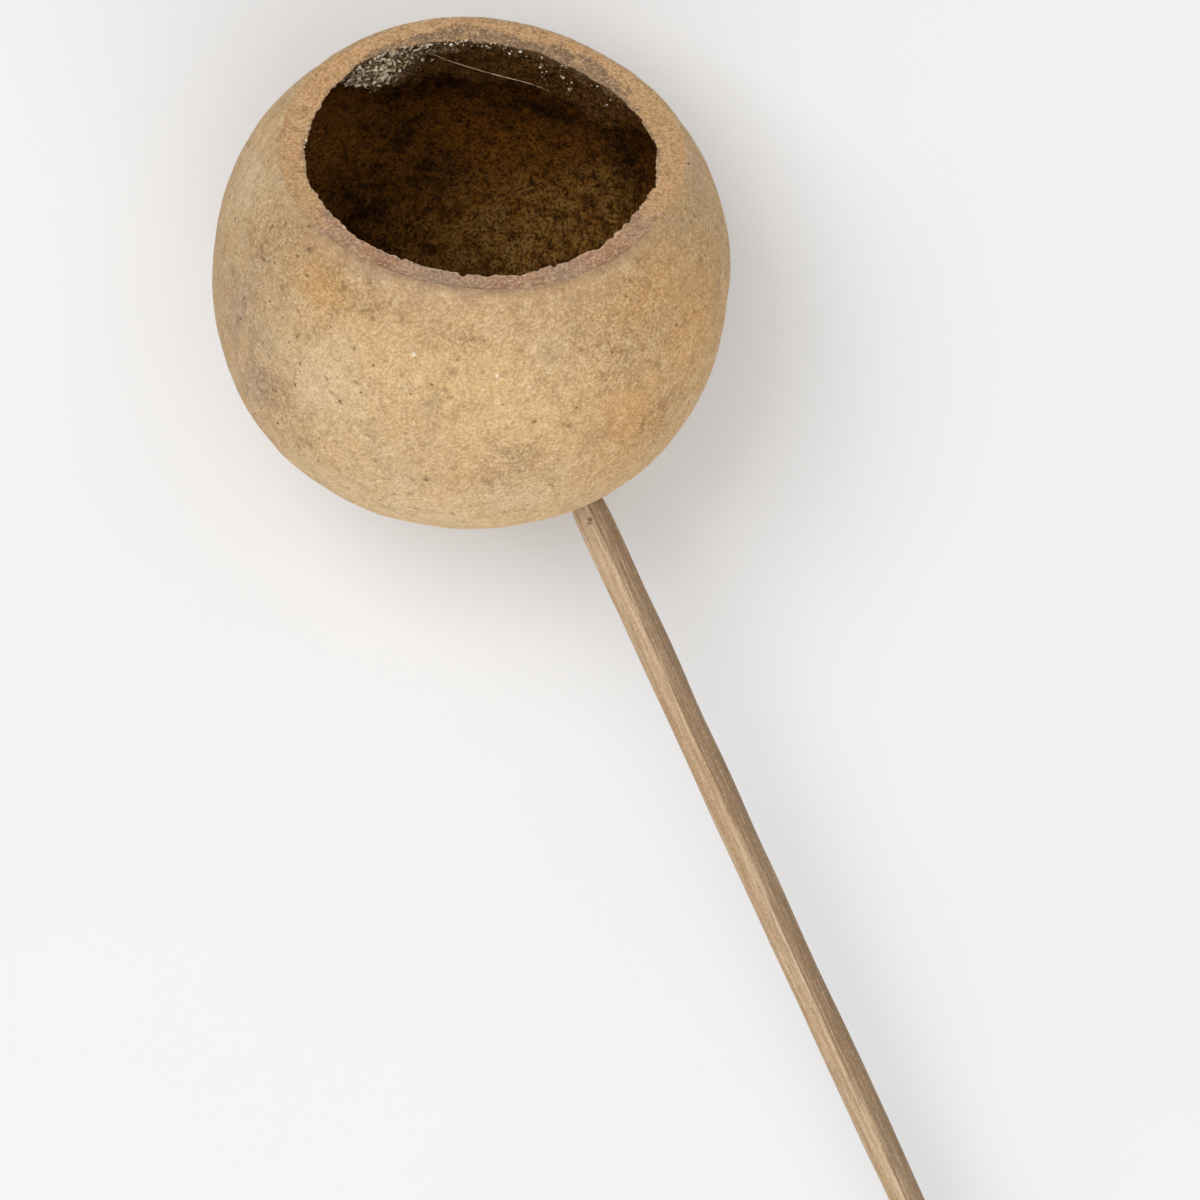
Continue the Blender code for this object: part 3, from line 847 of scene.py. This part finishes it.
small = np.vstack([lining_points(*group) for group in SMALL_GROUPS])
big = np.vstack([lining_points(*group) for group in BIG_GROUPS])
small_sizes = CRUMB_SIZE * np.random.default_rng(45).lognormal(-0.25, 0.45, len(small))
big_sizes = BIG_CRUMB_SIZE * np.random.default_rng(51).uniform(0.6, 1.1, len(big))
crumb_centres = np.vstack([small, big])
crumb_sizes = np.concatenate([small_sizes, big_sizes])
crumb_lengths = np.concatenate([np.ones(len(small)), np.full(len(big), BIG_CRUMB_LENGTH)])
pith_crumbs = crumbs("pith_crumbs", crumb_centres, crumb_sizes, crumb_lengths, seed=46)
pith_crumbs.data.materials.append(pith("pith", (0.38, 0.26, 0.140, 1), (0.95, 0.81, 0.59, 1)))
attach(pith_crumbs, "root")

# A fibre: one pale thread of the fruit's flesh, thinner than a hair at its ends. It dried onto the
# band of pulp under the mouth's far side.

FIBRE_RADIUS = 0.062 * MM
FIBRE_START = 113.5
FIBRE_SWEEP = 42
FIBRE_DEPTH = 2.1
FIBRE_FALL = 3.5
FIBRE_LIFT = 0.28 * MM
FIBRE_CURL = 0.12 * MM


def rings_along(path, outline):
    """A ring of points at each point of a path: the outline, given as (aside, up) for each of its
    corners there, is laid square to the path."""
    ahead = np.gradient(path, axis=0)
    ahead /= np.linalg.norm(ahead, axis=1, keepdims=True)
    aside = np.cross(ahead, [0, 0, 1])
    aside /= np.linalg.norm(aside, axis=1, keepdims=True)
    upward = np.cross(aside, ahead)
    return path[:, None] + outline[..., :1] * aside[:, None] + outline[..., 1:] * upward[:, None]


def round_outline(radii, around):
    """A circle of a given radius at each point of a path."""
    angle = 2 * np.pi * np.arange(around) / around
    circle = np.stack([np.cos(angle), np.sin(angle)], axis=-1)
    return radii[:, None, None] * circle[None]


def fibre_path():
    """The thread's line on the pulp: from under the far left edge down to the right, steep at
    first and then level, with a slight curl, and lying a hair over the pulp's face."""
    along = np.linspace(0, 1, 60)
    at_turn = np.radians(FIBRE_START - FIBRE_SWEEP * along)
    depth = (FIBRE_DEPTH + FIBRE_FALL * (1 - (1 - along) ** 3)) * MM
    flat_height = MOUTH_HEIGHT - depth
    top = TOP_DEPTH - SHOULDER_WALL
    wall = oval(oval_angle(flat_height, top), POD_RADIUS - WAIST_WALL, top)[0]
    radius, height, _, _ = as_grown(wall, flat_height, at_turn)
    curl = FIBRE_CURL * np.sin(9 * along) * along
    return on_the_pod(at_turn, radius - FIBRE_LIFT, height + curl)


thread = fibre_path()
thickness = FIBRE_RADIUS * (0.35 + 0.65 * np.sin(np.pi * np.linspace(0.06, 0.94, len(thread))))
fibre_rings = rings_along(thread, round_outline(thickness, 8))
fibre = lofted("mouth_fibre", thread[0], fibre_rings, thread[-1])
fibre.data.materials.append(pith("dry_fibre", (0.24, 0.15, 0.085, 1), (0.66, 0.48, 0.33, 1)))
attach(fibre, "root")

# The stem: a split reed about 3.7 mm thick, with a ridge along its top between two flatter
# sides and fine ribs all round. Its inner end is whittled to go through the pod's hole, and
# its far end is snipped off and rests on the surface.

STEM_ROWS = 620
STEM_AROUND = 96
WHITTLED_TIP = 20.5 * MM
STEM_TAPER = (
    (20.5 * MM, 0.42),
    (24.0 * MM, 0.72),
    (27.0 * MM, 1.00),
    (31.0 * MM, 1.08),
    (60.0 * MM, 1.05),
    (130.0 * MM, 0.98),
    (276.0 * MM, 0.90),
)
RIDGE = 0.10
SMALL_RIDGES = 0.035
GROOVE = 0.05
GROOVE_TURN = np.radians(116)
GROOVE_WIDTH = 0.13
CAP_ROWS = 7
END_FIBRES = 0.18 * MM

# The whittled part's colour fades out from this reach, over this length. A pattern on the reed is
# laid round a circle of this radius in millimetres, and drawn out along the reed this many times.
WHITTLED_FROM = 23 * MM
WHITTLED_FADE = 4 * MM
PATTERN_RADIUS = 1.9
RIB_STRETCH = 30
FIBRE_STRETCH = 26


def stem_thickness(reach):
    """The stem's share of its full radius: eased from each station of the taper to the next."""
    share = np.full(reach.shape, STEM_TAPER[0][1])
    for (start, thick), (end, next_thick) in zip(STEM_TAPER, STEM_TAPER[1:]):
        share += (next_thick - thick) * ease((reach - start) / (end - start))
    return share


def reed_outline(reach, angle):
    """The reed's section at each reach, as (aside, up): a circle with three broad ridges, one of
    them on top, and fine ribs whose heights come and go along the reed."""
    from_top = angle - np.pi / 2
    at = np.zeros((len(reach), len(angle), 3))
    at[..., 0] = (reach / MM / RIB_STRETCH)[:, None]
    at[..., 1] = PATTERN_RADIUS * np.cos(angle)
    at[..., 2] = PATTERN_RADIUS * np.sin(angle)
    ribs = 0.030 * rumple(at, 1.0, seed=61, waves=60) + 0.018 * rumple(at, 0.45, seed=62, waves=60)
    groove = GROOVE * np.exp(-(((angle - GROOVE_TURN) / GROOVE_WIDTH) ** 2))
    ridge = RIDGE * np.cos(3 * from_top) + SMALL_RIDGES * np.cos(6 * from_top)
    radius = STEM_RADIUS * stem_thickness(reach)[:, None] * (1 + ridge[None] - groove[None] + ribs)
    return np.stack([-radius * np.cos(angle), radius * np.sin(angle)], axis=-1)


reach = np.linspace(WHITTLED_TIP, STEM_END, STEM_ROWS)
angle = 2 * np.pi * np.arange(STEM_AROUND) / STEM_AROUND
stem_path = stem_centre(reach)
stem_rings = rings_along(stem_path, reed_outline(reach, angle))

# Each end is closed by rings that draw in to the middle, over a rough, fibrous face.
closing = np.linspace(0, 1, CAP_ROWS + 2)[1:-1]


def end_face(ring, middle, ahead, seed):
    """Rings from an end ring in to its middle, pushed back into the stem as torn fibres."""
    rings = ring[None] + (middle - ring[None]) * closing[:, None, None]
    depth = END_FIBRES * np.sin(np.pi * closing**0.5)[:, None]
    torn = np.abs(rumple(rings / MM, 0.55, seed=seed)) * depth
    return rings - torn[..., None] * ahead


start_way = stem_path[1] - stem_path[0]
end_way = stem_path[-1] - stem_path[-2]
start_face = end_face(stem_rings[0], stem_path[0], -start_way / np.linalg.norm(start_way), 63)[::-1]
far_face = end_face(stem_rings[-1], stem_path[-1], end_way / np.linalg.norm(end_way), 64)
all_rings = np.concatenate([start_face, stem_rings, far_face])
all_rings[..., 2] = np.maximum(all_rings[..., 2], 0.0)
stem = lofted("reed_stem", stem_path[0], all_rings, stem_path[-1])

ring_reach = np.concatenate([[WHITTLED_TIP] * CAP_ROWS, reach, [STEM_END] * CAP_ROWS]) / MM
end_share = np.concatenate([[1.0] * CAP_ROWS, np.zeros(STEM_ROWS), [1.0] * CAP_ROWS])
past_whittled = ease((reach - WHITTLED_FROM) / WHITTLED_FADE)
whittled = np.concatenate([[1.0] * CAP_ROWS, 1 - past_whittled, [0.0] * CAP_ROWS])


def for_each_stem_point(values, first, last):
    """One value a ring, spread over the ring, with one more at each end."""
    return np.concatenate([[first], np.repeat(values, STEM_AROUND), [last]])


note(stem, "end", for_each_stem_point(end_share, 1, 1))
note(stem, "whittled", for_each_stem_point(whittled, 1, 0))
note(stem, "reach", for_each_stem_point(ring_reach, WHITTLED_TIP / MM, STEM_END / MM))
round_the_reed = np.tile(angle, len(ring_reach))
along_the_reed = np.repeat(ring_reach, STEM_AROUND)
side = np.cos(round_the_reed)
up_side = np.sin(round_the_reed)
drawn_out = along_the_reed / FIBRE_STRETCH
reed_grain = np.stack([PATTERN_RADIUS * side, PATTERN_RADIUS * up_side, drawn_out], axis=-1)
inner_end = [[0, 0, WHITTLED_TIP / MM / FIBRE_STRETCH]]
far_end = [[0, 0, STEM_END / MM / FIBRE_STRETCH]]
note(stem, "grain", np.vstack([inner_end, reed_grain, far_end]))
# The side away from the key lamp is painted darker: painted shade as well as a browner tone.
shade_side = ease(0.5 + 3.0 * (side - 0.12))
note(stem, "painted_shade_side", np.concatenate([[0.5], shade_side, [0.5]]))
note(stem, "side", np.concatenate([[0], side, [0]]))


def reed():
    """Dry reed: straw brown, with fine fibres along it, one side browner than the other and darker
    with painted shade, a broken dark line of painted shade along its ridge with a painted highlight
    beside it, a small double scar beside the pod, a knot half-way, and pale pith at its ends."""
    finish = Finish("reed", roughness=0.72, specular=0.3)
    place = finish.millimetres()
    grain = finish.noted_place("grain")
    broad = finish.noise(grain, 1.1, 2.0, 0.5)
    fibres = finish.noise(grain, 0.30, 3.0, 0.6)
    hairs = finish.noise(grain, 0.11, 2.0, 0.6)
    grit = finish.noise(place, 0.32, 3.0, 0.7)
    cloud = finish.noise(place, 14.0, 3.0, 0.5)
    straw = (0.500, 0.320, 0.175, 1)
    pale = (0.630, 0.450, 0.285, 1)
    brown = (0.280, 0.172, 0.092, 1)
    dark = (0.130, 0.072, 0.036, 1)
    side = finish.noted("side")
    # A broken dark line just right of the ridge's crest, where the mesh has no groove, is painted
    # shade; the glint just left of it is a painted highlight.
    painted_ridge_shade = side.between(-0.08, 0.02) * side.between(0.14, 0.04) * fibres.between(0.40, 0.54)
    glint = side.between(-0.26, -0.18) * side.between(-0.08, -0.14) * fibres.between(0.56, 0.44)
    reach_mm = finish.noted("reach")
    spot = ((reach_mm - 30.2) / 0.24) ** 2.0 + ((side + 0.24) / 0.11) ** 2.0
    nick = ((reach_mm - 30.6) / 0.14) ** 2.0 + ((side + 0.44) / 0.20) ** 2.0
    knot = reach_mm.between(151.0, 151.5) * reach_mm.between(152.8, 152.2) * broad.between(0.45, 0.6)
    scar = spot.between(1.6, 0.5) + nick.between(1.6, 0.5) * 0.6 + knot
    pores = finish.noise(place, 0.25).between(0.4, 0.6)
    pith_tone = finish.mix(pores, (0.30, 0.20, 0.11, 1), (0.68, 0.55, 0.38, 1))
    finish.colour(finish.coats(
        straw,
        (broad.between(0.38, 0.62), pale),
        (finish.noted("painted_shade_side") * (0.42 + cloud * 0.5), brown),
        (fibres.between(0.50, 0.66) * 0.50, brown),
        (hairs.between(0.54, 0.66) * 0.42, dark),
        (hairs.between(0.45, 0.34) * 0.45, pale),
        (grit.between(0.50, 0.62) * 0.30, brown),
        (grit.between(0.47, 0.36) * 0.28, (0.76, 0.59, 0.40, 1)),
        (painted_ridge_shade * 0.70, (0.200, 0.105, 0.048, 1)),
        (glint * 0.45, (0.78, 0.60, 0.40, 1)),
        (scar.between(0.0, 1.0) * 0.75, dark),
        (finish.noted("whittled") * 0.75, (0.52, 0.38, 0.22, 1)),
        (finish.noted("end"), pith_tone),
    ))
    finish.bump(fibres * 1.2 + hairs * 0.7 + grit * 0.5 - scar * 0.6, 0.12 * MM, 0.8)
    return finish.material


stem.data.materials.append(reed())
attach(stem, "root")
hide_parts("stem")

# The surface: one large sheet of pale matt board, flat and plain, with nothing fixed to it. The
# pod and the stem's far end lie on it.

FLOOR_SIZE = 12.0


def pale_sheet():
    """Matt white board with the faintest mottle."""
    finish = Finish("pale_sheet", roughness=0.9, specular=0.2)
    mottle = finish.noise(finish.millimetres(), 60.0, 3.0)
    finish.colour(finish.mix(mottle, (0.86, 0.86, 0.855, 1), (0.90, 0.90, 0.895, 1)))
    return finish.material


half = FLOOR_SIZE / 2
floor_corners = [(-half, -half, 0), (half, -half, 0), (half, half, 0), (-half, half, 0)]
floor_mesh = bpy.data.meshes.new("floor")
floor_mesh.from_pydata(floor_corners, [], [(0, 1, 2, 3)])
floor = placed("floor", floor_mesh)
floor.data.materials.append(pale_sheet())

# The camera looks straight down on the pod, with the stem running to the lower right. Three soft
# lights stand round it: the key at the upper left, the fill low and below, and one overhead.
# The picture's width is measured at the height of the pod's middle, and lengths are in metres.

PICTURE_WIDTH = 134.5 * MM
PICTURE_ROLL = np.radians(24.5)
POD_FROM_MIDDLE = (-14.6 * MM, 36.3 * MM)
CAMERA_DISTANCE = 2.0
CAMERA_SIGHT = 20.0
SENSOR = 36.0
ROOM_COLOUR = (0.95, 0.97, 1.0, 1)
ROOM_STRENGTH = 0.45

picture_up = np.array([np.sin(PICTURE_ROLL), np.cos(PICTURE_ROLL), 0.0])
picture_right = np.array([np.cos(PICTURE_ROLL), -np.sin(PICTURE_ROLL), 0.0])
aim = POD_MIDDLE - picture_right * POD_FROM_MIDDLE[0] - picture_up * POD_FROM_MIDDLE[1]
camera_data = bpy.data.cameras.new("camera")
camera_data.sensor_width = SENSOR
camera_data.lens = SENSOR * CAMERA_DISTANCE / PICTURE_WIDTH
camera_data.clip_end = CAMERA_SIGHT
camera = placed("camera", camera_data)
camera.location = aim + np.array([0.0, 0.0, CAMERA_DISTANCE])
camera.rotation_euler = (0.0, 0.0, -PICTURE_ROLL)
bpy.context.scene.camera = camera


def soft_light(name, aside, up_picture, height, size, power):
    """A square soft light aimed at the pod: it stands off to a side and up the picture by the given
    metres, at a height, and is as wide as its size."""
    data = bpy.data.lights.new(name, "AREA")
    data.size = size
    data.energy = power
    light = placed(name, data)
    place = POD_MIDDLE + picture_right * aside + picture_up * up_picture + np.array([0.0, 0.0, height])
    light.location = place
    light.rotation_mode = "QUATERNION"
    light.rotation_quaternion = Vector(place - POD_MIDDLE).to_track_quat("Z", "Y")
    light.visible_camera = False


soft_light("key", aside=-0.40, up_picture=0.25, height=1.00, size=0.6, power=4.5)
soft_light("fill", aside=0.15, up_picture=-0.98, height=0.48, size=0.9, power=5.2)
soft_light("top", aside=0.15, up_picture=0.0, height=1.30, size=0.9, power=2.8)
world = bpy.data.worlds.new("studio")
world.use_nodes = True
world.node_tree.nodes["Background"].inputs["Color"].default_value = ROOM_COLOUR
world.node_tree.nodes["Background"].inputs["Strength"].default_value = ROOM_STRENGTH
bpy.context.scene.world = world
bpy.context.scene.view_settings.view_transform = "Standard"
